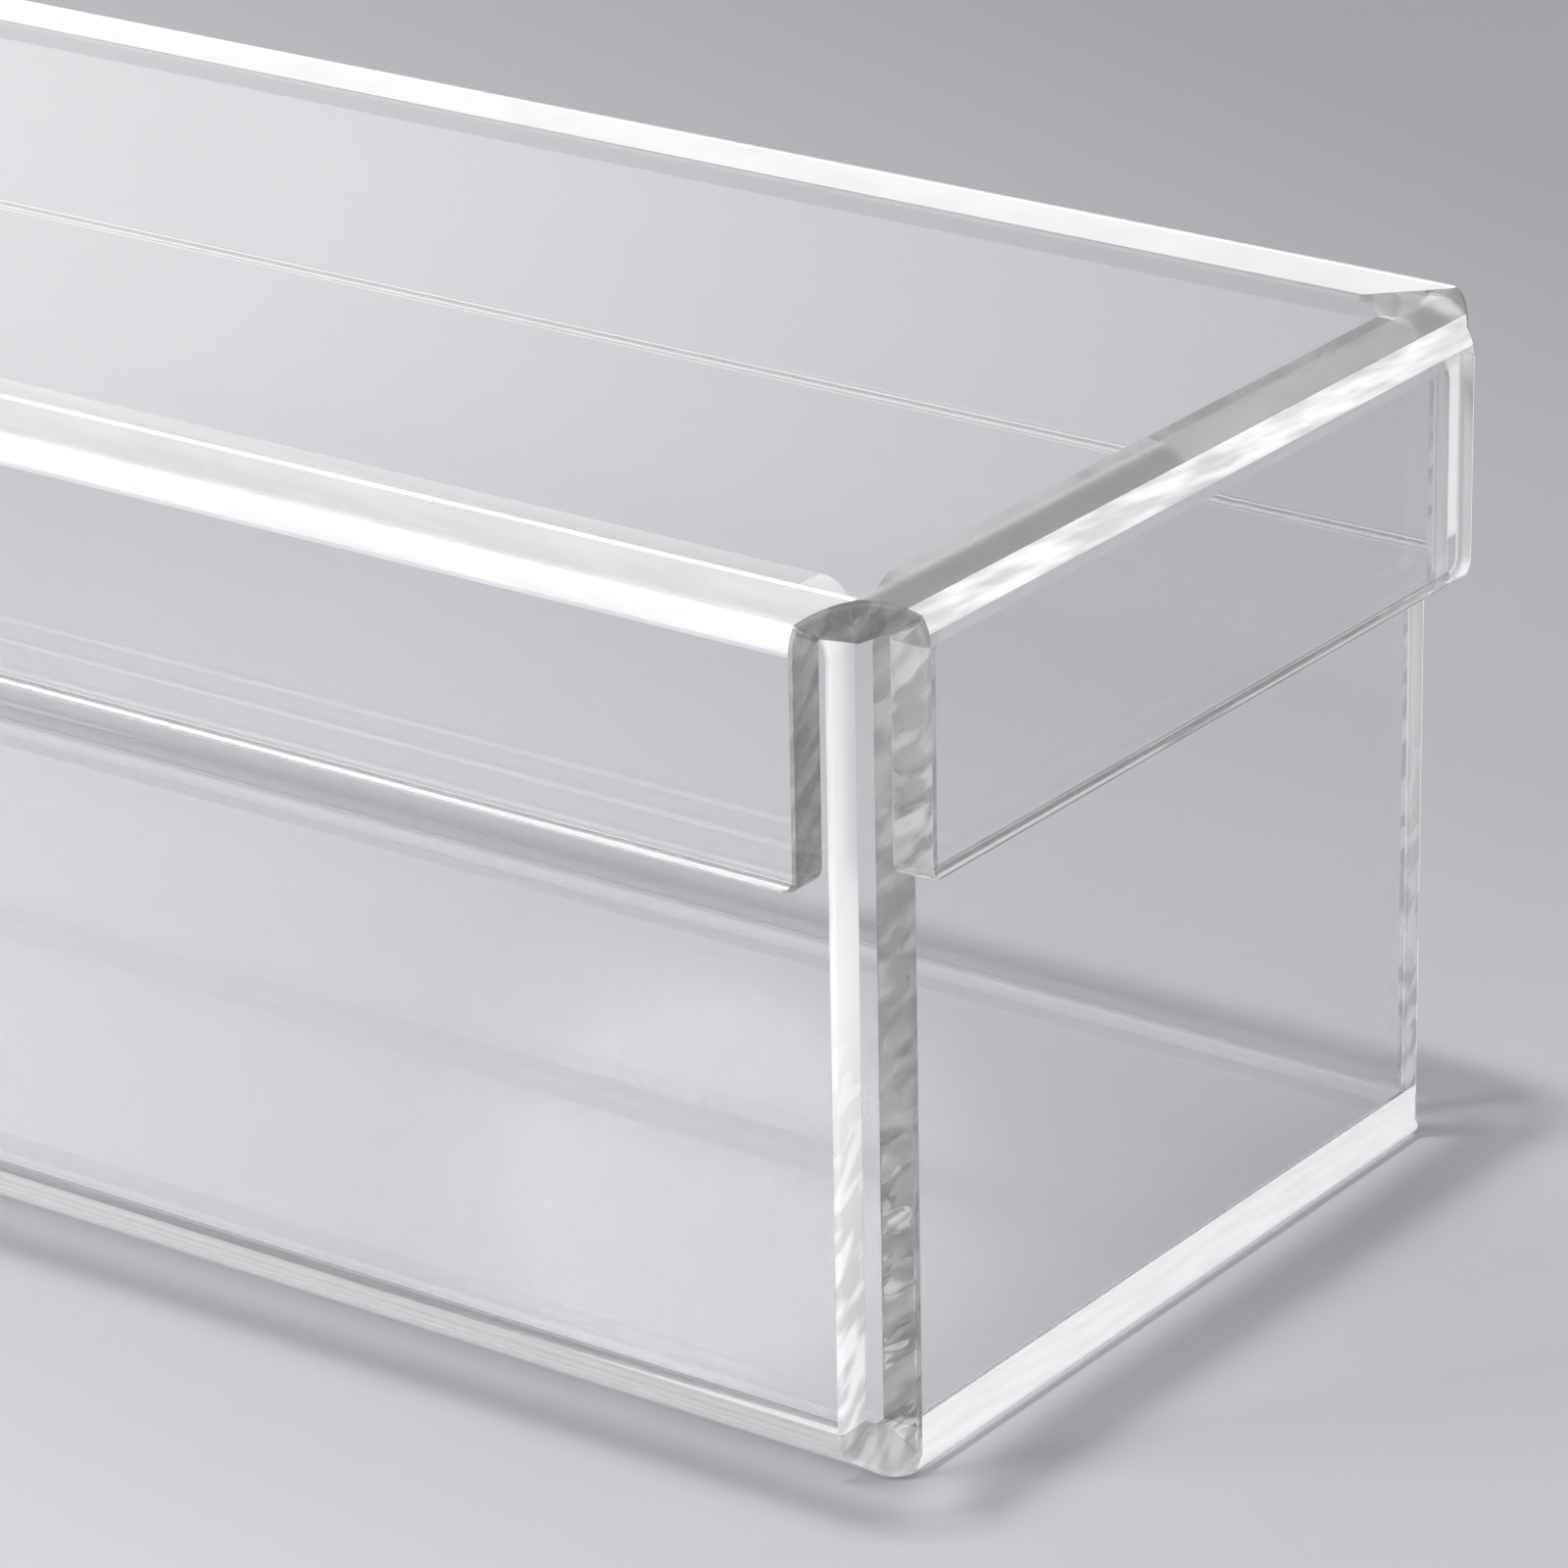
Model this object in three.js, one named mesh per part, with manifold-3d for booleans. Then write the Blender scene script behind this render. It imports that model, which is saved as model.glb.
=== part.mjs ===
// Clear acrylic cake box: an open tray and an overlapping lift-off lid.
// Each piece is one flat blank of sheet with its four sides bent over, and the corners stay open.
// Millimetres, +Z up. The origin is in the middle of the underside, +X runs along the box.
import * as THREE from "three";
import * as BufferGeometryUtils from "three/addons/utils/BufferGeometryUtils.js";
import Module from "manifold-3d";

const wasm = await Module();
wasm.setup();

// Sheet
const SHEET = 4;
const INNER_BEND_R = 0.6;

// Overall sizes
const LID_LENGTH = 300;
const LID_WIDTH = 104;
const OVERALL_HEIGHT = 84;
const LID_DEPTH = 26;

// Open corners: the step from the end of a bend to the side of the next flap,
// and the round at the free corners of the flaps
const LID_NOTCH = 3.4;
const BASE_NOTCH = 0.2;
const LID_FREE_R = 1.6;
const BASE_FREE_R = 3.3;
const PLATE_CORNER_R = 0.5;

// The two ends of the tray are folded almost sharp: the round outside that fold
const BASE_END_R = 1.2;

// Loose fit of the lid: play on each side when centred, and what is left where it is pushed up,
// and how far the eased rim of the tray stays off the bend inside the lid
const LID_PLAY = 1.5;
const PUSHED_GAP = 0.3;
const RIM_CLEAR = 0.1;

// Fineness of the rounds, and how far a cut runs past the face it starts from
const BEND_STEPS = 14;
const CORNER_STEPS = 6;
const FREE_STEPS = 10;
const CUT_OVER = 0.3;

// Sizes that follow
const BEND_R = SHEET + INNER_BEND_R;
const EDGE_EASE = INNER_BEND_R - PUSHED_GAP + RIM_CLEAR;
const BASE_LENGTH = LID_LENGTH - 2 * (SHEET + LID_PLAY);
const BASE_WIDTH = LID_WIDTH - 2 * (SHEET + LID_PLAY);
const BASE_HEIGHT = OVERALL_HEIGHT - SHEET;
const BASE_SHIFT = LID_PLAY - PUSHED_GAP;
const QUARTER = Math.PI / 2;

const ACRYLIC = new THREE.MeshStandardMaterial({
  name: "clear_acrylic",
  color: 0xf4f6f8,
  roughness: 0.04,
  metalness: 0,
  transparent: true,
  opacity: 0.28,
});

function toSolid(geometry) {
  const bare = geometry.clone();
  bare.deleteAttribute("normal");
  bare.deleteAttribute("uv");
  const merged = BufferGeometryUtils.mergeVertices(bare);
  const mesh = new wasm.Mesh({
    numProp: 3,
    vertProperties: new Float32Array(merged.attributes.position.array),
    triVerts: new Uint32Array(merged.index.array),
  });
  return new wasm.Manifold(mesh);
}

function toGeometry(solid) {
  const mesh = solid.getMesh();
  const geometry = new THREE.BufferGeometry();
  geometry.setAttribute("position", new THREE.BufferAttribute(mesh.vertProperties, mesh.numProp));
  geometry.setIndex(new THREE.BufferAttribute(mesh.triVerts, 1));
  return geometry;
}

// Rectangle with round corners, counter-clockwise, always the same number of points
function roundedOutline(length, width, radius) {
  const signs = [[1, 1], [-1, 1], [-1, -1], [1, -1]];
  const points = [];
  signs.forEach(([sx, sy], corner) => {
    const centreX = sx * (length / 2 - radius);
    const centreY = sy * (width / 2 - radius);
    for (let step = 0; step <= CORNER_STEPS; step++) {
      const angle = (corner + step / CORNER_STEPS) * QUARTER;
      points.push([centreX + radius * Math.cos(angle), centreY + radius * Math.sin(angle)]);
    }
  });
  return points;
}

// Closed body through a stack of outlines, each given by its height and its insets at the ends and the sides
function loftOutlines(length, width, cornerRadius, sections) {
  const positions = [];
  const index = [];
  let count = 0;
  for (const { end, side, z } of sections) {
    const outline = roundedOutline(length - 2 * end, width - 2 * side, cornerRadius - side);
    count = outline.length;
    outline.forEach(([x, y]) => positions.push(x, y, z));
  }
  for (let level = 0; level + 1 < sections.length; level++) {
    for (let i = 0; i < count; i++) {
      const a = level * count + i;
      const b = level * count + (i + 1) % count;
      index.push(a, b, b + count, a, b + count, a + count);
    }
  }
  const top = (sections.length - 1) * count;
  for (let i = 1; i + 1 < count; i++) {
    index.push(0, i + 1, i);
    index.push(top, top + i, top + i + 1);
  }
  const geometry = new THREE.BufferGeometry();
  geometry.setAttribute("position", new THREE.Float32BufferAttribute(positions, 3));
  geometry.setIndex(index);
  return geometry;
}

// How far a bend stands in from the upright it leads to, at a height above the flat plate
function bendInset(radius, height) {
  if (height >= radius) {
    return 0;
  }
  const rise = radius - height;
  return radius - Math.sqrt(radius * radius - rise * rise);
}

// Bends from the flat plate to the upright ends and sides, starting at a given inset and height
function bendSections(endRadius, sideRadius, inset, z) {
  const sections = [];
  for (let step = 0; step <= BEND_STEPS; step++) {
    const height = sideRadius * (1 - Math.cos((step / BEND_STEPS) * QUARTER));
    sections.push({
      end: inset + bendInset(endRadius, height),
      side: inset + bendInset(sideRadius, height),
      z: z + height,
    });
  }
  return sections;
}

function evenSection(inset, z) {
  return { end: inset, side: inset, z };
}

// The sheet bent up on all four sides, before its corners are opened
function bentPan(length, width, height, endRadius) {
  const cornerRadius = BEND_R + PLATE_CORNER_R;
  const outside = bendSections(endRadius, BEND_R, 0, 0);
  outside.push(evenSection(0, height - EDGE_EASE));
  outside.push(evenSection(EDGE_EASE, height));
  const inside = bendSections(INNER_BEND_R, INNER_BEND_R, SHEET, SHEET);
  inside.push(evenSection(SHEET, height - EDGE_EASE));
  inside.push(evenSection(SHEET - EDGE_EASE, height));
  inside.push(evenSection(SHEET - EDGE_EASE, height + CUT_OVER));
  const outer = toSolid(loftOutlines(length, width, cornerRadius, outside));
  const inner = toSolid(loftOutlines(length, width, cornerRadius, inside));
  return outer.subtract(inner);
}

function extrudeShape(shape, depth) {
  return new THREE.ExtrudeGeometry(shape, { depth, bevelEnabled: false, curveSegments: FREE_STEPS });
}

// What is cut from one corner, drawn with the sharp corner at the origin and the box towards -X -Y
function cornerCuts(height, setback, freeRadius) {
  const tip = new THREE.Shape();
  tip.moveTo(-setback - CUT_OVER, CUT_OVER);
  tip.lineTo(CUT_OVER, -setback - CUT_OVER);
  tip.lineTo(CUT_OVER, CUT_OVER);
  tip.closePath();
  const tipCut = extrudeShape(tip, height + 2 * CUT_OVER);
  tipCut.translate(0, 0, -CUT_OVER);

  const column = new THREE.Shape();
  column.moveTo(-setback, -setback);
  column.lineTo(CUT_OVER, -setback);
  column.lineTo(CUT_OVER, CUT_OVER);
  column.lineTo(-setback, CUT_OVER);
  column.closePath();
  const columnCut = extrudeShape(column, height - BEND_R + CUT_OVER);
  columnCut.translate(0, 0, BEND_R);

  // Waste outside the round at a free corner, drawn along the flap (x) and up (y)
  const waste = new THREE.Shape();
  waste.moveTo(-setback + CUT_OVER, height - freeRadius);
  waste.lineTo(-setback + CUT_OVER, height + CUT_OVER);
  waste.lineTo(-setback - freeRadius, height + CUT_OVER);
  waste.lineTo(-setback - freeRadius, height);
  waste.absarc(-setback - freeRadius, height - freeRadius, freeRadius, QUARTER, 0, true);
  waste.closePath();
  const sideWaste = extrudeShape(waste, SHEET + 2 * CUT_OVER);
  sideWaste.rotateX(QUARTER);
  sideWaste.translate(0, CUT_OVER, 0);
  const endWaste = extrudeShape(waste, SHEET + 2 * CUT_OVER);
  endWaste.rotateX(QUARTER);
  endWaste.rotateZ(QUARTER);
  endWaste.translate(-SHEET - CUT_OVER, 0, 0);

  return [tipCut, columnCut, sideWaste, endWaste];
}

// One bent sheet standing on its plate: plate underside at z = 0, free edges at z = height
function bentSheet(length, width, height, endRadius, notch, freeRadius) {
  const setback = BEND_R + notch;
  const corners = [
    [length / 2, width / 2],
    [-length / 2, width / 2],
    [-length / 2, -width / 2],
    [length / 2, -width / 2],
  ];
  let solid = bentPan(length, width, height, endRadius);
  corners.forEach(([x, y], corner) => {
    for (const cut of cornerCuts(height, setback, freeRadius)) {
      cut.rotateZ(corner * QUARTER);
      cut.translate(x, y, 0);
      solid = solid.subtract(toSolid(cut));
    }
  });
  return toGeometry(solid);
}

function namedMesh(name, geometry) {
  geometry.computeVertexNormals();
  const mesh = new THREE.Mesh(geometry, ACRYLIC);
  mesh.name = name;
  return mesh;
}

function makeBase() {
  const geometry = bentSheet(BASE_LENGTH, BASE_WIDTH, BASE_HEIGHT, BASE_END_R, BASE_NOTCH, BASE_FREE_R);
  geometry.translate(BASE_SHIFT, BASE_SHIFT, 0);
  return namedMesh("base_tray", geometry);
}

function makeLid() {
  const geometry = bentSheet(LID_LENGTH, LID_WIDTH, LID_DEPTH, BEND_R, LID_NOTCH, LID_FREE_R);
  geometry.rotateX(Math.PI);
  geometry.translate(0, 0, OVERALL_HEIGHT);
  return namedMesh("lid", geometry);
}

const part = new THREE.Group();
part.name = "cake_box";
part.add(makeBase(), makeLid());
export default part;
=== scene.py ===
import math

import bmesh
import bpy
from mathutils import Euler, Matrix, Vector


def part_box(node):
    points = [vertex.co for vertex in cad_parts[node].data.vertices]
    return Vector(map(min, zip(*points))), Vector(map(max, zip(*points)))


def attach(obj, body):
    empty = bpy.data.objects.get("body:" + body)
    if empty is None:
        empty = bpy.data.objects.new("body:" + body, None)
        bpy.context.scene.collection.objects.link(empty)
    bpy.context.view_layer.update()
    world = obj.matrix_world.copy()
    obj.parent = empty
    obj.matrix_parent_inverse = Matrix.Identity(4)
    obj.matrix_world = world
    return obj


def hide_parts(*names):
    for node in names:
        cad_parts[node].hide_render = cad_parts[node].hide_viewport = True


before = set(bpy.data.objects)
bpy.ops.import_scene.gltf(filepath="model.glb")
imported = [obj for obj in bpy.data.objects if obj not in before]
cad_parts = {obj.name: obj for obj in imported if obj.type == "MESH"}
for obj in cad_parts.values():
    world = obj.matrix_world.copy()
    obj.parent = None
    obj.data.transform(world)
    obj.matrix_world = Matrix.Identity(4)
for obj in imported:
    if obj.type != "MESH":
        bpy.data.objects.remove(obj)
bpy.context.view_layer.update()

# Looks of the clear acrylic cake box: an open tray and an overlapping lid, each bent from one sheet

# The sheet and its open corners, in metres
MM = 0.001
QUARTER = math.pi / 2
SHEET = 4.0 * MM
INNER_BEND_R = 0.6 * MM
BEND_R = SHEET + INNER_BEND_R
BEND_LENGTH = BEND_R * QUARTER
LID_NOTCH = 3.4 * MM
BASE_NOTCH = 0.2 * MM
LID_FREE_R = 1.6 * MM
BASE_FREE_R = 3.3 * MM
EDGE_ROUND = 0.45 * MM

# Outer outline of a bend as the power of a superellipse: 2 is round, more is squarer
ROUND_BEND = 2.0
SHARP_FOLD = 8.7

# How far the strips of painted highlight and glow reach: past a bend up its flap, and from the lid's back
# bend onto the plate
PAINTED_BAND_PAST_BEND = 1.0 * MM
LID_BACK_PAINTED_GLOW = 6.0 * MM

# Fineness of the mesh
STEP = 0.12 * MM
FREE_STEPS = 10
CORNER_STEPS = 24
EDGE_STEPS = 5
LEAST_STEPS = 2
LEAST_RINGS = 4

# The photograph's camera: place and clipping in metres, angles in degrees, lens and sensor in millimetres
CAMERA_PLACE = (0.47211, -0.50544, 0.29942)
CAMERA_AZIMUTH = 36.145
CAMERA_ELEVATION = 22.39
CAMERA_ROLL = -1.119
CAMERA_LENS = 168.48
CAMERA_SENSOR = 36.0
CAMERA_CLIP = (0.05, 50.0)

# Enough bounces to see through all the sheets
CLEAR_BOUNCES = 128
DIFFUSE_BOUNCES = 32

# Clear acrylic: a faint cloud between two tints on its polished faces, and how much lamp light they pass
ACRYLIC_IOR = 1.49
FACE_TINTS = ((0.985, 0.988, 0.992, 1), (1.0, 1.0, 1.0, 1))
CLOUD_SCALE = 18.0
CLOUD_DETAIL = 3.0
LAMP_PASS = (0.99, 0.99, 1.0, 1)

# Saw marks on the cut edges: directions of the noise times frequencies per metre, the noise values between
# which marks show, their depth, the factors of the edge's colour in the dark and the light marks (painted
# shade and highlight on their facets), and the heights between which they run out on the white edges of
# painted glow
SAW_WAVES = ((-400, -400, 420), (120, 120, 150), (80, -80, 0))
SAW_DETAIL = 1.0
SAW_SHOWS = (0.4, 0.58)
SAW_DEPTH = 0.05 * MM
SAW_SHADE_AND_HIGHLIGHT = (0.7, 1.35)
SAW_FADE = (0.018, 0.045)
CUT_ROUGHNESS = 0.1

# Streaks along the bends and the free edges, given in the same way, and how much darker the faint ones are
STREAK_WAVES = ((110, 0, 0), (0, 110, 0), (60, 60, 1100))
STREAK_DETAIL = 2.0
STREAK_SHOWS = (0.36, 0.62)
FAINT_STREAK = 0.07

# Floor paper: half its width, its colours near and far, and the way and the distances over which it greys, a
# painted light falloff
FLOOR_HALF = 6.0
FLOOR_DROP = 0.02 * MM
FLOOR_NEAR_LIT = (0.615, 0.6, 0.625, 1)
FLOOR_FAR_SHADED = (0.365, 0.35, 0.375, 1)
FLOOR_SHADE_WAY = (0.5, 1.0, 0.0)
FLOOR_SHADE_FADE = (-0.06, 0.31)
FLOOR_ROUGHNESS = 0.9

# Sky: a bright low ring that gives way to a calmer top between two elevations.
# Angles are in degrees, and azimuths count from +X towards +Y.
SKY_COLOUR = (0.99, 0.99, 1.0, 1)
RING_LEVEL = 1.24
TOP_LEVEL = 0.3
RING_EDGE = (30, 50)

# Soft patches laid over the sky in turn: azimuth, elevation, inner and outer radius, level.
# The last four are the key light as the acrylic mirrors it.
SKY_PATCHES = (
    (216, 34, 18, 60, 0.15),
    (90, 33, 14, 45, 0.3),
    (144, 50, 9, 27, 1.2),
    (226, 30, 6, 12, 4.0),
    (233.1, 25.55, 0, 2.6, 9),
    (233.1, 25.55, 0, 1.7, 17),
    (233.1, 25.55, 0, 0.9, 28),
)

# Lamps: azimuth, elevation, distance and size in metres, power in watts
KEY_LAMP = (232, 36, 1.2, 0.4, 4.2)
TOP_LAMP = (309, 86.3, 1.2, 0.08, 5.8)
FILL_LAMP = (350, 10, 3.0, 1.0, 24.0)

# Material slots of a sheet: its faces, free edges, bends and cut edges. The white, pale and end bends and the
# strip on the plate paint highlight and glow, the white cut edges paint glow, and the grey and corner cut
# edges and the free edges of the end flaps paint shade.
FACE = 0
FREE_SIDE = 1
FREE_END_PAINTED_SHADE = 2
BEND_PAINTED_HIGHLIGHT = 3
BEND_PAINTED_HALF_HIGHLIGHT = 4
BEND_CLEAR = 5
BEND_END_PAINTED_HIGHLIGHT = 6
BACK_STRIP_PAINTED_GLOW = 7
CUT_PALE = 8
CUT_PAINTED_GLOW = 9
CUT_PAINTED_SHADE = 10
CUT_CORNER_PAINTED_SHADE = 11

# Sides in order around a sheet, an end first: outward direction, direction along the side
SIDES = (
    (Vector((1, 0, 0)), Vector((0, 1, 0))),
    (Vector((0, 1, 0)), Vector((-1, 0, 0))),
    (Vector((-1, 0, 0)), Vector((0, -1, 0))),
    (Vector((0, -1, 0)), Vector((1, 0, 0))),
)

# Outside of the bends at the ends and along the sides: up to which angle from the plate, and its material.
# The white, pale and end bands are painted highlights where the bends catch the light.
BASE_BENDS = (
    ((45, BEND_CLEAR), (100, BEND_PAINTED_HIGHLIGHT)),
    ((92, BEND_CLEAR),),
)
LID_BENDS = (
    ((42, BEND_CLEAR), (76, BEND_END_PAINTED_HIGHLIGHT), (92, BEND_CLEAR)),
    ((9, BEND_PAINTED_HIGHLIGHT), (57, BEND_PAINTED_HALF_HIGHLIGHT), (86, BEND_PAINTED_HIGHLIGHT), (92, BEND_PAINTED_HALF_HIGHLIGHT)),
)

# Free edges of the end flaps and of the side flaps
FREE_EDGES = (FREE_END_PAINTED_SHADE, FREE_SIDE)

# Cut edges up the two flaps at each corner, starting with the corner between the first two sides. White edges
# are painted glow, grey ones painted shade.
# The lid is made upside down, so its second side is the front and its last the back.
BASE_CUTS = (
    (CUT_PAINTED_GLOW, CUT_PALE),
    (CUT_PALE, CUT_PAINTED_GLOW),
    (CUT_PAINTED_SHADE, CUT_PAINTED_GLOW),
    (CUT_PAINTED_GLOW, CUT_PAINTED_SHADE),
)
LID_CUTS = (
    (CUT_PALE, CUT_PAINTED_SHADE),
    (CUT_PAINTED_SHADE, CUT_PALE),
    (CUT_PAINTED_GLOW, CUT_PAINTED_GLOW),
    (CUT_PAINTED_GLOW, CUT_PAINTED_GLOW),
)

# All looks of a sheet, with the cut across its corners and the width of the strip of painted glow on its
# plate
BASE_LOOKS = {"bends": BASE_BENDS, "cuts": BASE_CUTS, "corner": CUT_PALE, "plate_painted_glow": 0}
LID_LOOKS = {"bends": LID_BENDS, "cuts": LID_CUTS, "corner": CUT_CORNER_PAINTED_SHADE, "plate_painted_glow": LID_BACK_PAINTED_GLOW}


class BentSheet:
    """Mesh of one blank of sheet bent on four sides: plate underside at z = 0, free edges at its height.

    A point of the flat blank near a corner is given as (p, q): how far it lies past the start of the bend
    of one side, and past that of the next side round. Depth runs from the outer face (0) to the inner one.
    """

    def __init__(self, size, end_power, notch, free_radius, looks):
        end_reach = size.x / 2 - BEND_R
        side_reach = size.y / 2 - BEND_R
        self.reach = (end_reach, side_reach, end_reach, side_reach)
        self.power = (end_power, ROUND_BEND, end_power, ROUND_BEND)
        self.end = BEND_LENGTH + size.z - BEND_R
        self.notch = notch
        self.free_radius = free_radius
        self.looks = looks
        past_plate = (BEND_R - notch) / math.sqrt(2)
        self.diagonal = math.sqrt(2) * (BEND_R * math.asin(past_plate / BEND_R) - EDGE_ROUND)
        self.vertices = []
        self.faces = []
        self.face_materials = []

    def bend_place(self, run, depth, power):
        """Outward and upward place along the bent section, from the start of the bend."""
        if run > BEND_LENGTH:
            return BEND_R - depth, BEND_R + run - BEND_LENGTH
        angle = run / BEND_R
        outer = BEND_R / (math.cos(angle) ** power + math.sin(angle) ** power) ** (1 / power)
        radius = outer + (INNER_BEND_R - outer) * depth / SHEET
        return radius * math.sin(angle), BEND_R - radius * math.cos(angle)

    def place(self, corner, p, q, depth):
        """Bent place of the blank's point (p, q) at a corner and a depth."""
        here, along = SIDES[corner]
        reach = self.reach[corner]
        power = self.power[corner]
        next_reach = self.reach[(corner + 1) % 4]
        next_power = self.power[(corner + 1) % 4]
        if p > 0 and q > 0:
            run = math.hypot(p, q)
            share = (p / run) ** 2
            mixed_power = 1 / (share / power + (1 - share) / next_power)
            out, up = self.bend_place(run, depth, mixed_power)
            place = here * (reach + out * p / run) + along * (next_reach + out * q / run)
        elif p > 0:
            out, up = self.bend_place(p, depth, power)
            place = here * (reach + out) + along * (next_reach + q)
        elif q > 0:
            out, up = self.bend_place(q, depth, next_power)
            place = here * (reach + p) + along * (next_reach + out)
        else:
            up = depth
            place = here * (reach + p) + along * (next_reach + q)
        return place + Vector((0, 0, up))

    def side_outline(self):
        """Edge of a flap from its free end to the diagonal, set in by the edge round.

        Each point is (p, q, normal p, normal q).
        """
        points = []
        inner_radius = self.free_radius - EDGE_ROUND
        for step in range(FREE_STEPS, -1, -1):
            angle = step / FREE_STEPS * QUARTER
            p = self.end - self.free_radius + inner_radius * math.sin(angle)
            q = -self.notch - self.free_radius + inner_radius * math.cos(angle)
            points.append((p, q, math.sin(angle), math.cos(angle)))
        side = -self.notch - EDGE_ROUND
        points.append((BEND_LENGTH + PAINTED_BAND_PAST_BEND, side, 0.0, 1.0))
        kink = self.diagonal - side
        steps = max(LEAST_STEPS, round((BEND_LENGTH - kink) / STEP))
        for step in range(steps):
            points.append((BEND_LENGTH + (kink - BEND_LENGTH) * step / steps, side, 0.0, 1.0))
        mitre = math.tan(QUARTER / 4)
        points.append((kink, side, mitre, 1.0))
        slope = math.sqrt(0.5)
        steps = max(LEAST_STEPS, round(-side / STEP))
        for step in range(steps - 1, 0, -1):
            q = side * step / steps
            points.append((self.diagonal - q, q, slope, slope))
        return points

    def corner_outline(self):
        """The same along the diagonal cut between the two bends."""
        points = []
        slope = math.sqrt(0.5)
        for step in range(CORNER_STEPS + 1):
            angle = step / CORNER_STEPS * QUARTER
            radius = self.diagonal / (math.cos(angle) + math.sin(angle))
            points.append((radius * math.cos(angle), radius * math.sin(angle), slope, slope))
        return points

    def add_vertex(self, place):
        self.vertices.append(place)
        return len(self.vertices) - 1

    def add_face(self, corners, material):
        self.faces.append(corners)
        self.face_materials.append(material)

    def add_section(self, corner, p, q, normal_p, normal_q):
        """Vertices across the rounded cut edge at one outline point, outer face first."""
        section = []
        angles = [step / EDGE_STEPS * QUARTER for step in range(EDGE_STEPS + 1)]
        rounds = [(EDGE_ROUND * math.sin(a), EDGE_ROUND * (1 - math.cos(a))) for a in angles]
        rounds += [(offset, SHEET - depth) for offset, depth in reversed(rounds)]
        for offset, depth in rounds:
            place = self.place(corner, p + normal_p * offset, q + normal_q * offset, depth)
            section.append(self.add_vertex(place))
        return section

    def add_corner(self, corner):
        """Cut edge of one corner and the grid of its doubly bent part, on both faces."""
        side = self.side_outline()
        diagonal = self.corner_outline()
        outline = side + diagonal + [(q, p, nq, np) for p, q, np, nq in reversed(side)]
        edge = [self.add_section(corner, *point) for point in outline]
        rings = max(LEAST_RINGS, round(self.diagonal / STEP))
        grids = []
        for depth, layer in ((0.0, 0), (SHEET, -1)):
            middle = self.add_vertex(self.place(corner, 0.0, 0.0, depth))
            grid = [[middle] * len(diagonal)]
            for ring in range(1, rings):
                share = ring / rings
                places = [self.place(corner, p * share, q * share, depth) for p, q, _, _ in diagonal]
                grid.append([self.add_vertex(place) for place in places])
            grid.append([edge[len(side) + i][layer] for i in range(len(diagonal))])
            grids.append(grid)
        return {"edge": edge, "side": len(side), "grids": grids}

    def add_corner_faces(self, corner):
        """The doubly bent part of one corner, on both faces."""
        for grid in corner["grids"]:
            for near, far in zip(grid, grid[1:]):
                for i in range(len(near) - 1):
                    if near[i] == near[i + 1]:
                        self.add_face((near[i], far[i], far[i + 1]), FACE)
                    else:
                        self.add_face((near[i], far[i], far[i + 1], near[i + 1]), FACE)

    def row_material(self, side, face, run):
        """Material of a row of faces: the outside of a bend has its own looks."""
        angle = math.degrees(run / BEND_R)
        if face == 0:
            for limit, material in self.looks["bends"][side % 2]:
                if angle < limit:
                    return material
        return FACE

    def add_flap_faces(self, side, before, after):
        """Faces of the flap between two corners: rows from its free edge to the start of its bend."""
        rings = len(after["grids"][0]) - 1
        runs = [point[0] for point in self.side_outline()]
        runs += [self.diagonal * ring / rings for ring in range(rings, -1, -1)]
        for face, layer in ((0, 0), (1, -1)):
            right = [section[layer] for section in after["edge"][:after["side"]]]
            right += [ring[0] for ring in reversed(after["grids"][face])]
            left = [section[layer] for section in reversed(before["edge"][-before["side"]:])]
            left += [ring[-1] for ring in reversed(before["grids"][face])]
            for row in range(len(right) - 1):
                material = self.row_material(side, face, (runs[row] + runs[row + 1]) / 2)
                self.add_face((right[row], right[row + 1], left[row + 1], left[row]), material)

    def add_plate_faces(self, corners):
        """The flat plate on both faces, with the strip of painted glow along its last side where there is
        one.
        """
        outer = [corner["grids"][0][0][0] for corner in corners]
        inner = [corner["grids"][1][0][0] for corner in corners]
        self.add_face(tuple(inner), FACE)
        inset = -self.looks["plate_painted_glow"]
        if inset == 0:
            self.add_face(tuple(outer), FACE)
            return
        # The last side runs from corner 2 to corner 3
        start = self.add_vertex(self.place(2, inset, inset, 0.0))
        end = self.add_vertex(self.place(3, inset, inset, 0.0))
        self.add_face((outer[0], outer[1], outer[2], start, end, outer[3]), FACE)
        self.add_face((outer[2], outer[3], end, start), BACK_STRIP_PAINTED_GLOW)

    def corner_cut_looks(self, index):
        """Materials along a corner's cut edge: the free edge before it, a flap, the corner, the next flap."""
        outline = self.side_outline()
        flap = sum(point[0] >= BEND_LENGTH for point in outline) - 1
        corner = 2 * (len(outline) - flap) + CORNER_STEPS
        first, second = self.looks["cuts"][index]
        return [FREE_EDGES[index % 2]] + [first] * flap + [self.looks["corner"]] * corner + [second] * flap

    def add_edge_faces(self, corners):
        """The cut edge that runs all round the blank."""
        edge = [section for corner in corners for section in corner["edge"]]
        looks = [look for index in range(4) for look in self.corner_cut_looks(index)]
        for index, look in enumerate(looks):
            here = edge[index - 1]
            there = edge[index]
            for level in range(len(here) - 1):
                self.add_face((here[level], there[level], there[level + 1], here[level + 1]), look)

    def build(self):
        corners = [self.add_corner(corner) for corner in range(4)]
        for corner in corners:
            self.add_corner_faces(corner)
        for side in range(4):
            self.add_flap_faces(side, corners[side - 1], corners[side])
        self.add_plate_faces(corners)
        self.add_edge_faces(corners)
        return self


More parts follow.
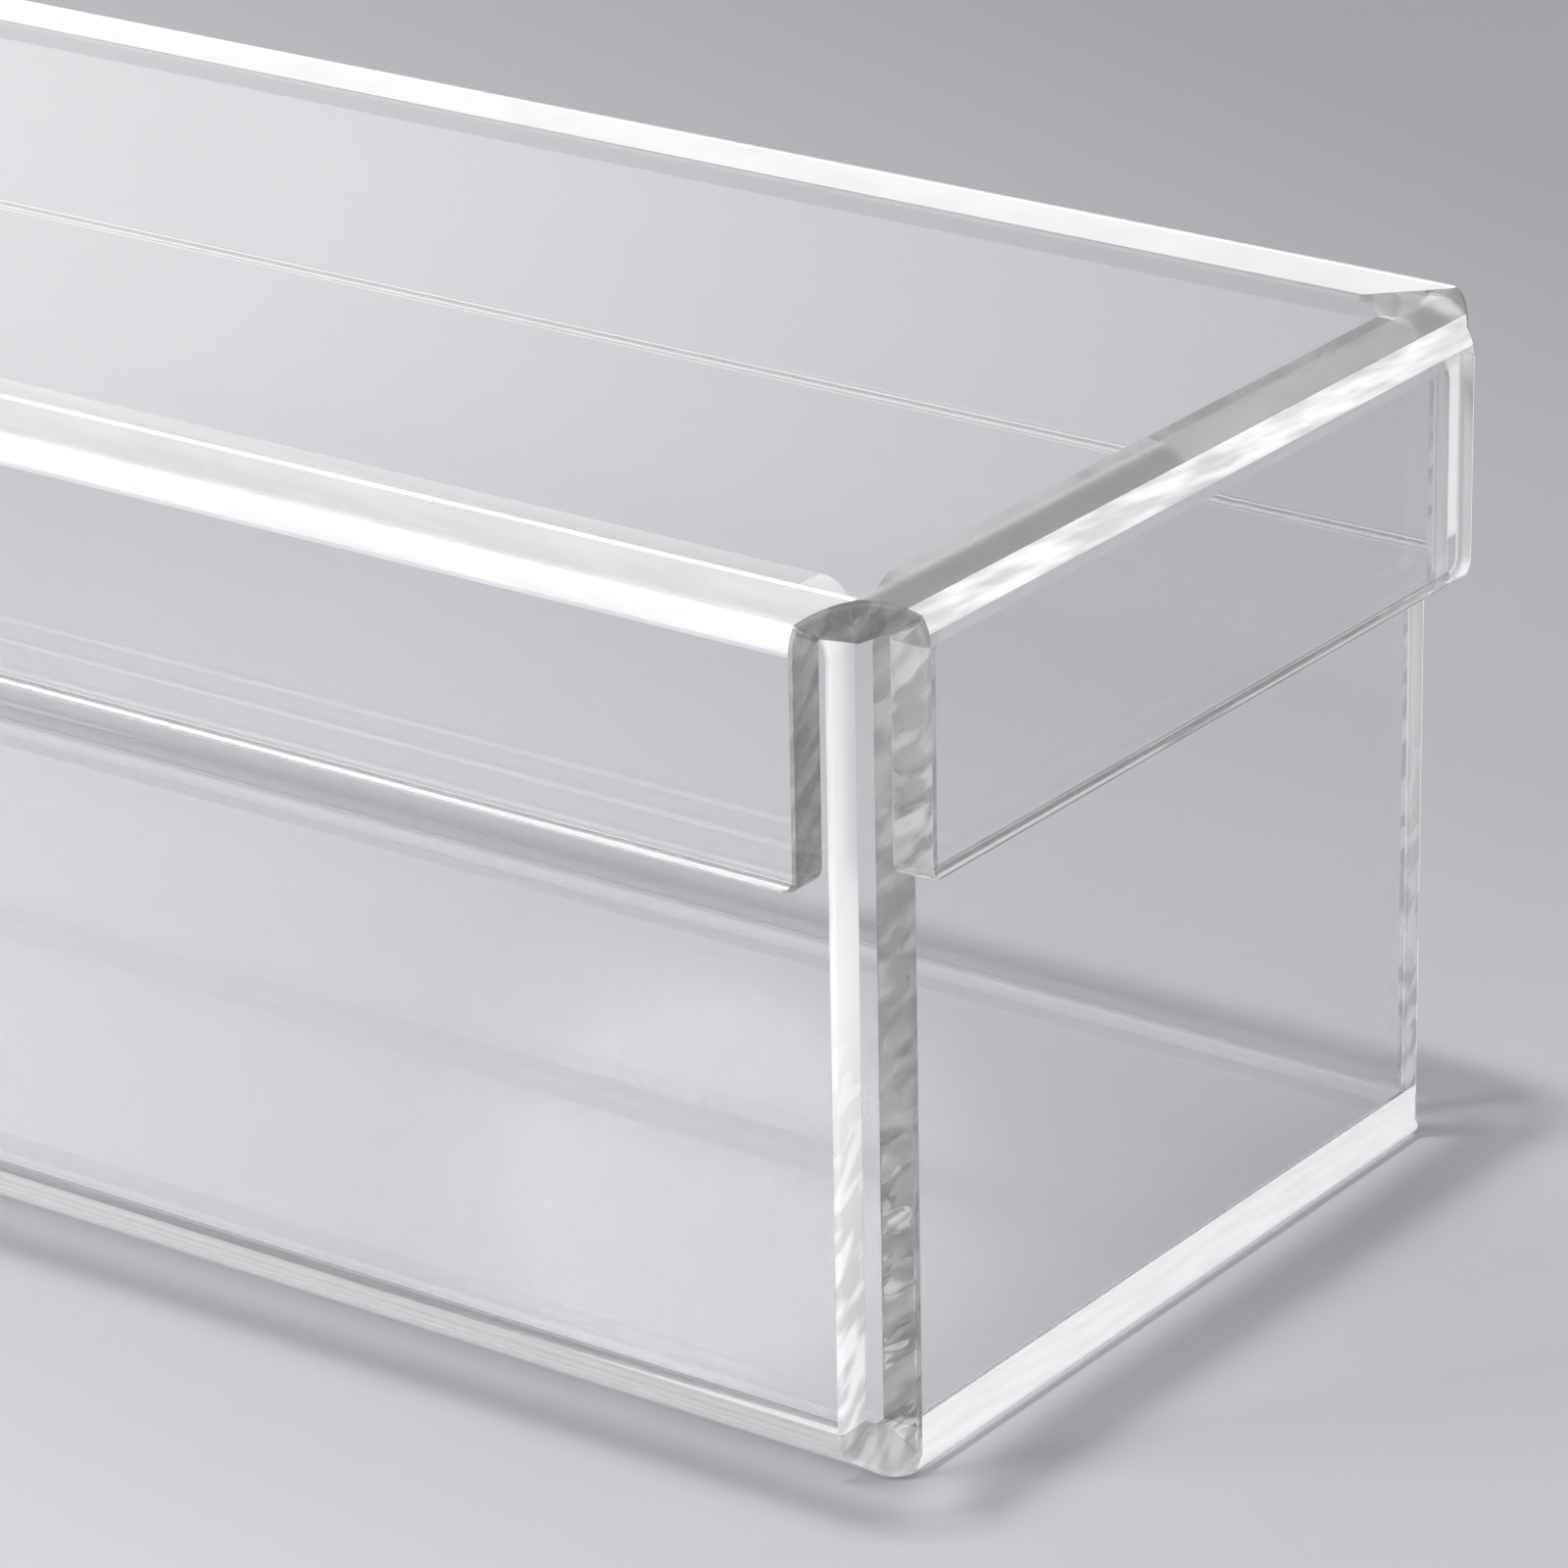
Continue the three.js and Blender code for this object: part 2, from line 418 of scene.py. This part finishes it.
def area_weighted_normals(mesh):
    """Vertex normals in which the wide flat faces outweigh the narrow rounds beside them."""
    normals = [Vector((0, 0, 0)) for _ in mesh.vertices]
    for face in mesh.polygons:
        for index in face.vertices:
            normals[index] += face.normal * face.area
    return [normal.normalized() for normal in normals]


def sheet_object(name, sheet, transform, materials):
    """Object of a bent sheet, with its faces outward and its shading smooth."""
    mesh = bpy.data.meshes.new(name)
    mesh.from_pydata([tuple(transform @ v) for v in sheet.vertices], [], sheet.faces)
    for material in materials:
        mesh.materials.append(material)
    mesh.polygons.foreach_set("material_index", sheet.face_materials)
    shape = bmesh.new()
    shape.from_mesh(mesh)
    bmesh.ops.recalc_face_normals(shape, faces=shape.faces)
    shape.to_mesh(mesh)
    shape.free()
    mesh.shade_smooth()
    mesh.normals_split_custom_set_from_vertices(area_weighted_normals(mesh))
    obj = bpy.data.objects.new(name, mesh)
    bpy.context.scene.collection.objects.link(obj)
    return obj


def node_material(name):
    """A new material with its nodes, links and shader."""
    material = bpy.data.materials.new(name)
    material.use_nodes = True
    nodes = material.node_tree.nodes
    return material, nodes, material.node_tree.links, nodes["Principled BSDF"]


def object_place(nodes):
    return nodes.new("ShaderNodeTexCoord").outputs["Object"]


def way_along(nodes, links, place, way):
    """How far a place lies along a way."""
    product = nodes.new("ShaderNodeVectorMath")
    product.operation = "DOT_PRODUCT"
    product.inputs[1].default_value = way
    links.new(place, product.inputs[0])
    return product.outputs["Value"]


def share_between(nodes, links, value, limits):
    """0 to 1 as a value runs from one limit to the other."""
    share = nodes.new("ShaderNodeMapRange")
    share.inputs["From Min"].default_value = limits[0]
    share.inputs["From Max"].default_value = limits[1]
    links.new(value, share.inputs["Value"])
    return share.outputs["Result"]


def soft_share(nodes, links, value, limits):
    """The same, with soft ends."""
    share = share_between(nodes, links, value, limits)
    share.node.interpolation_type = "SMOOTHSTEP"
    return share


def colour_between(nodes, links, share, first, second):
    """The first colour where a share is 0, the second where it is 1."""
    mix = nodes.new("ShaderNodeMix")
    mix.data_type = "RGBA"
    mix.inputs["A"].default_value = first
    mix.inputs["B"].default_value = second
    links.new(share, mix.inputs["Factor"])
    return mix.outputs["Result"]


def noise_at(nodes, links, place, scale, detail):
    noise = nodes.new("ShaderNodeTexNoise")
    noise.inputs["Scale"].default_value = scale
    noise.inputs["Detail"].default_value = detail
    links.new(place, noise.inputs["Vector"])
    return noise.outputs["Fac"]


def stretched_noise(nodes, links, place, ways, detail):
    """Noise whose grain runs along chosen ways: each way is a direction times its frequency per metre."""
    join = nodes.new("ShaderNodeCombineXYZ")
    for axis, way in zip("XYZ", ways):
        links.new(way_along(nodes, links, place, way), join.inputs[axis])
    return noise_at(nodes, links, join.outputs["Vector"], 1.0, detail)


def acrylic_material(name, clearness):
    material, nodes, links, shader = node_material(name)
    shader.inputs["Transmission Weight"].default_value = clearness
    shader.inputs["IOR"].default_value = ACRYLIC_IOR
    return material, nodes, links, shader


def pass_lamps(material):
    """Let the lamps shine through a clear surface, so that only bends and cut edges draw a shadow."""
    nodes = material.node_tree.nodes
    links = material.node_tree.links
    path = nodes.new("ShaderNodeLightPath")
    clear = nodes.new("ShaderNodeBsdfTransparent")
    clear.inputs["Color"].default_value = LAMP_PASS
    mix = nodes.new("ShaderNodeMixShader")
    links.new(path.outputs["Is Shadow Ray"], mix.inputs["Fac"])
    links.new(nodes["Principled BSDF"].outputs["BSDF"], mix.inputs[1])
    links.new(clear.outputs["BSDF"], mix.inputs[2])
    links.new(mix.outputs["Shader"], nodes["Material Output"].inputs["Surface"])


def face_material():
    """Polished faces of the sheet: clear, with the faintest cloud in their tint."""
    material, nodes, links, shader = acrylic_material("acrylic_face", 1.0)
    cloud = noise_at(nodes, links, object_place(nodes), CLOUD_SCALE, CLOUD_DETAIL)
    links.new(colour_between(nodes, links, cloud, *FACE_TINTS), shader.inputs["Base Color"])
    shader.inputs["Roughness"].default_value = 0.0
    pass_lamps(material)
    return material


def streaked_material(name, clearness, roughness, tone=1.0, streak=FAINT_STREAK):
    """Strips of the bends and free edges of the flaps, with lengthwise streaks darker by a share. A whiter,
    less clear strip paints highlight or glow, and a lower tone paints shade.
    """
    material, nodes, links, shader = acrylic_material(name, clearness)
    waves = stretched_noise(nodes, links, object_place(nodes), STREAK_WAVES, STREAK_DETAIL)
    streaks = share_between(nodes, links, waves, STREAK_SHOWS)
    dark = (1 - streak) * tone
    colour = colour_between(nodes, links, streaks, (dark, dark, dark, 1), (tone, tone, tone, 1))
    links.new(colour, shader.inputs["Base Color"])
    shader.inputs["Roughness"].default_value = roughness
    return material


def clear_bend_material():
    material = streaked_material("acrylic_bend_clear", clearness=0.9, roughness=0.25)
    pass_lamps(material)
    return material


def fade_upwards(nodes, links, place, marks):
    """The marks low on an edge, running out into its plain upper part."""
    height = way_along(nodes, links, place, (0, 0, 1))
    plain = nodes.new("ShaderNodeMath")
    plain.operation = "MAXIMUM"
    links.new(marks, plain.inputs[0])
    links.new(share_between(nodes, links, height, SAW_FADE), plain.inputs[1])
    return plain.outputs["Value"]


def cut_material(name, clearness, colour, fades=False):
    """Sawn and flame-polished cut edges, with the slanting marks the saw left as bumps, their facets lighter
    and darker by painted highlight and shade. A white edge colour paints glow, a grey one shade.
    """
    material, nodes, links, shader = acrylic_material(name, clearness)
    place = object_place(nodes)
    waves = stretched_noise(nodes, links, place, SAW_WAVES, SAW_DETAIL)
    marks = share_between(nodes, links, waves, SAW_SHOWS)
    if fades:
        marks = fade_upwards(nodes, links, place, marks)
    bump = nodes.new("ShaderNodeBump")
    bump.inputs["Strength"].default_value = 1.0
    bump.inputs["Distance"].default_value = SAW_DEPTH
    links.new(marks, bump.inputs["Height"])
    links.new(bump.outputs["Normal"], shader.inputs["Normal"])
    # Dark and light marks: painted shade and highlight on the saw facets
    dark, light = [[min(1.0, tone * part) for part in colour] + [1] for tone in SAW_SHADE_AND_HIGHLIGHT]
    links.new(colour_between(nodes, links, marks, dark, light), shader.inputs["Base Color"])
    shader.inputs["Roughness"].default_value = CUT_ROUGHNESS
    return material


def sheet_materials():
    """Materials of a sheet in the order of its slots."""
    return [
        face_material(),
        streaked_material("acrylic_free_side", clearness=0.8, roughness=0.05),
        # Free edges of the end flaps darkened: painted shade
        streaked_material("acrylic_free_end_painted_shade", clearness=0.8, roughness=0.05, tone=0.55, streak=0.3),
        # White and pale bend strips: painted highlight
        streaked_material("acrylic_bend_painted_highlight", clearness=0.1, roughness=0.1),
        streaked_material("acrylic_bend_painted_half_highlight", clearness=0.5, roughness=0.2),
        clear_bend_material(),
        # End bend strip: painted highlight
        streaked_material("acrylic_bend_end_painted_highlight", clearness=0.1, roughness=0.1, tone=0.94, streak=0.32),
        # Strip on the lid's plate along its back bend: painted glow
        streaked_material("acrylic_back_strip_painted_glow", clearness=0.1, roughness=0.1, tone=0.83, streak=0.06),
        cut_material("acrylic_cut_pale", clearness=0.7, colour=(0.8, 0.8, 0.8)),
        # White cut edges: painted glow
        cut_material("acrylic_cut_painted_glow", clearness=0.04, colour=(1.0, 1.0, 1.0), fades=True),
        # Grey and corner cut edges: painted shade
        cut_material("acrylic_cut_painted_shade", clearness=0.95, colour=(0.45, 0.43, 0.405)),
        cut_material("acrylic_cut_corner_painted_shade", clearness=0.85, colour=(0.5, 0.485, 0.47)),
    ]


def make_tray(materials):
    """The tray, standing on its plate, with its ends folded almost sharp."""
    low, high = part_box("base_tray")
    middle = (low + high) / 2
    sheet = BentSheet(high - low, SHARP_FOLD, BASE_NOTCH, BASE_FREE_R, BASE_LOOKS).build()
    base = sheet_object("tray_sheet", sheet, Matrix.Translation((middle.x, middle.y, low.z)), materials)
    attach(base, "base")
    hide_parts("base_tray")


def make_lid(materials):
    """The lid, turned over so that its plate is on top."""
    low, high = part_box("lid")
    middle = (low + high) / 2
    sheet = BentSheet(high - low, ROUND_BEND, LID_NOTCH, LID_FREE_R, LID_LOOKS).build()
    turned = Matrix.Translation((middle.x, middle.y, high.z)) @ Matrix.Rotation(math.pi, 4, "X")
    lid = sheet_object("lid_sheet", sheet, turned, materials)
    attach(lid, "lid")
    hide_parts("lid")


def floor_material():
    """Plain pale paper, with painted light falloff: darker towards the back."""
    material, nodes, links, shader = node_material("floor_paper")
    distance = way_along(nodes, links, object_place(nodes), FLOOR_SHADE_WAY)
    # Darker towards the back: painted light falloff
    painted_falloff = share_between(nodes, links, distance, FLOOR_SHADE_FADE)
    links.new(colour_between(nodes, links, painted_falloff, FLOOR_NEAR_LIT, FLOOR_FAR_SHADED), shader.inputs["Base Color"])
    shader.inputs["Roughness"].default_value = FLOOR_ROUGHNESS
    shader.inputs["Specular IOR Level"].default_value = 0.0
    return material


def make_floor():
    mesh = bpy.data.meshes.new("floor")
    corners = [(-1, -1), (1, -1), (1, 1), (-1, 1)]
    mesh.from_pydata([(x * FLOOR_HALF, y * FLOOR_HALF, -FLOOR_DROP) for x, y in corners], [], [(0, 1, 2, 3)])
    mesh.materials.append(floor_material())
    floor = bpy.data.objects.new("floor", mesh)
    bpy.context.scene.collection.objects.link(floor)


def direction(azimuth, elevation):
    """Unit vector towards an azimuth and an elevation."""
    azimuth = math.radians(azimuth)
    elevation = math.radians(elevation)
    return Vector((
        math.cos(elevation) * math.cos(azimuth),
        math.cos(elevation) * math.sin(azimuth),
        math.sin(elevation),
    ))


def sky_patch(nodes, links, place, azimuth, elevation, inner, outer):
    """Weight of a soft round patch of sky: 1 inside its inner radius, 0 outside its outer one."""
    nearness = way_along(nodes, links, place, direction(azimuth, elevation))
    limits = (math.cos(math.radians(outer)), math.cos(math.radians(inner)))
    return soft_share(nodes, links, nearness, limits)


def make_world():
    """A soft studio: bright low walls all round, a calmer top, and a few patches."""
    world = bpy.data.worlds.new("studio")
    bpy.context.scene.world = world
    world.use_nodes = True
    nodes = world.node_tree.nodes
    links = world.node_tree.links
    place = nodes.new("ShaderNodeTexCoord").outputs["Generated"]
    height = way_along(nodes, links, place, (0, 0, 1))
    level = soft_share(nodes, links, height, [math.sin(math.radians(angle)) for angle in RING_EDGE])
    level.node.inputs["To Min"].default_value = RING_LEVEL
    level.node.inputs["To Max"].default_value = TOP_LEVEL
    for *patch, patch_level in SKY_PATCHES:
        mix = nodes.new("ShaderNodeMix")
        links.new(sky_patch(nodes, links, place, *patch), mix.inputs["Factor"])
        links.new(level, mix.inputs["A"])
        mix.inputs["B"].default_value = patch_level
        level = mix.outputs["Result"]
    background = nodes["Background"]
    background.inputs["Color"].default_value = SKY_COLOUR
    links.new(level, background.inputs["Strength"])


def make_lamp(name, azimuth, elevation, distance, size, power):
    """A square lamp that faces the middle of the floor and is not mirrored in the acrylic."""
    light = bpy.data.lights.new(name, "AREA")
    light.shape = "SQUARE"
    light.size = size
    light.energy = power
    lamp = bpy.data.objects.new(name, light)
    lamp.location = direction(azimuth, elevation) * distance
    lamp.rotation_euler = (-lamp.location).to_track_quat("-Z", "Y").to_euler()
    lamp.visible_glossy = False
    lamp.visible_transmission = False
    bpy.context.scene.collection.objects.link(lamp)


def make_lights():
    """A soft box at the front left, a small lamp above that draws the shadow, a weak fill at the right."""
    make_lamp("key_lamp", *KEY_LAMP)
    make_lamp("top_lamp", *TOP_LAMP)
    make_lamp("fill_lamp", *FILL_LAMP)


def make_camera():
    camera = bpy.data.cameras.new("photo_camera")
    camera.lens = CAMERA_LENS
    camera.sensor_width = CAMERA_SENSOR
    camera.clip_start = CAMERA_CLIP[0]
    camera.clip_end = CAMERA_CLIP[1]
    obj = bpy.data.objects.new("photo_camera", camera)
    bpy.context.scene.collection.objects.link(obj)
    turn = Euler((math.radians(90 - CAMERA_ELEVATION), 0, math.radians(CAMERA_AZIMUTH))).to_matrix()
    roll = Matrix.Rotation(math.radians(CAMERA_ROLL), 3, "Z")
    obj.matrix_world = Matrix.Translation(CAMERA_PLACE) @ (turn @ roll).to_4x4()
    bpy.context.scene.camera = obj


def set_view():
    scene = bpy.context.scene
    scene.view_settings.view_transform = "Standard"
    scene.cycles.max_bounces = CLEAR_BOUNCES
    scene.cycles.transmission_bounces = CLEAR_BOUNCES
    scene.cycles.glossy_bounces = CLEAR_BOUNCES
    scene.cycles.diffuse_bounces = DIFFUSE_BOUNCES


acrylic = sheet_materials()
make_tray(acrylic)
make_lid(acrylic)
make_floor()
make_world()
make_lights()
make_camera()
set_view()
